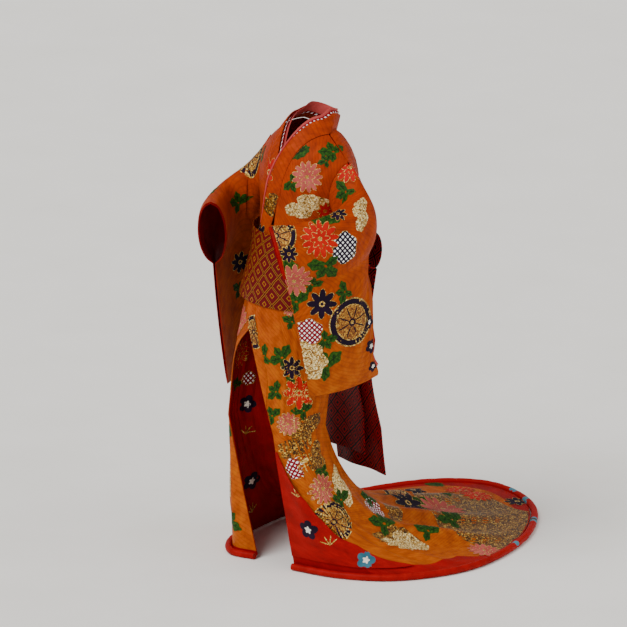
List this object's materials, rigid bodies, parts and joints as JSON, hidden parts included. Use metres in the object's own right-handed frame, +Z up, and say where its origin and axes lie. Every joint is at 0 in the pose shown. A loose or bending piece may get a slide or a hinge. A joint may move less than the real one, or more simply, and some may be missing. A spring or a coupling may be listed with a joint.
{
  "type": "trailing kimono with obi",
  "caption": "Worn trailing kimono in patterned orange silk with red lining, bag sleeves, padded hem and a tied belt, hollow and held at the shoulders.",
  "frame": {"origin": "where the wearer's shoulders hold the robe, midway between the armholes", "axes": "+Z up, -Y the way the wearer faces, +X the wearer's left, the train running towards +Y"},
  "size_m": [0.8078, 1.1181, 1.3476],
  "materials": {
    "silk": "satin",
    "collar": "satin",
    "lining": "satin",
    "pink": "satin",
    "obi": "satin"
  },
  "bodies": {
    "root": {"back_left": "silk", "back_right": "silk", "collar": "collar", "collar_dotted": "lining", "collar_pink": "pink", "cuff_band_left": "lining", "cuff_band_right": "lining", "front_left": "silk", "front_right": "silk", "furi_inner_left": "pink", "furi_inner_right": "pink", "furi_outer_left": "pink", "furi_outer_right": "pink", "hem_roll": "lining", "lining_back_left": "lining", "lining_back_right": "lining", "lining_front_left": "lining", "lining_front_right": "lining", "lining_okumi_left": "lining", "lining_okumi_right": "lining", "obi_band": "obi", "obi_end_long": "obi", "obi_end_short": "obi", "obi_loop": "obi", "okumi_left": "silk", "okumi_right": "silk", "sleeve_left": "silk", "sleeve_right": "silk", "turnback": "lining"}
  },
  "joints": []
}
